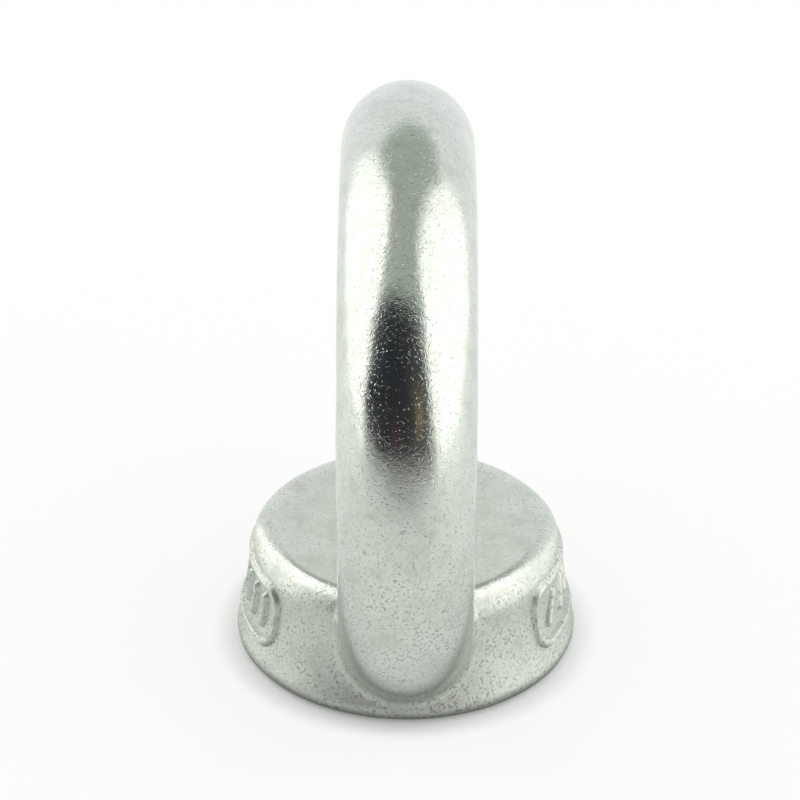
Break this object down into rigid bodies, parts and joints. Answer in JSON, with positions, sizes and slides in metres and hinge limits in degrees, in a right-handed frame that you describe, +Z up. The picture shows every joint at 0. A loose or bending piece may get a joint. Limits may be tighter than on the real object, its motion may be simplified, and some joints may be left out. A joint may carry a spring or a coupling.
{
  "type": "lifting eye nut",
  "caption": "Lifting eye nut: a round lifting ring of round bar cast in one piece with a flared cylindrical foot that has a threaded through hole.",
  "frame": {"origin": "centre of the seat, the flat underside of the foot, where the axis of the threaded hole meets it", "axes": "+Z up the axis of the threaded hole, Y across the ring in its plane, X through the eye"},
  "size_m": [0.035, 0.0617, 0.0591],
  "materials": {
    "cast_steel": "stainless casting, blasted and tumbled: satin grey with fine pits, short scratches and peened mottling, smoother and brighter where it was rubbed"
  },
  "bodies": {
    "root": {"eye_nut": "cast_steel"}
  },
  "joints": []
}
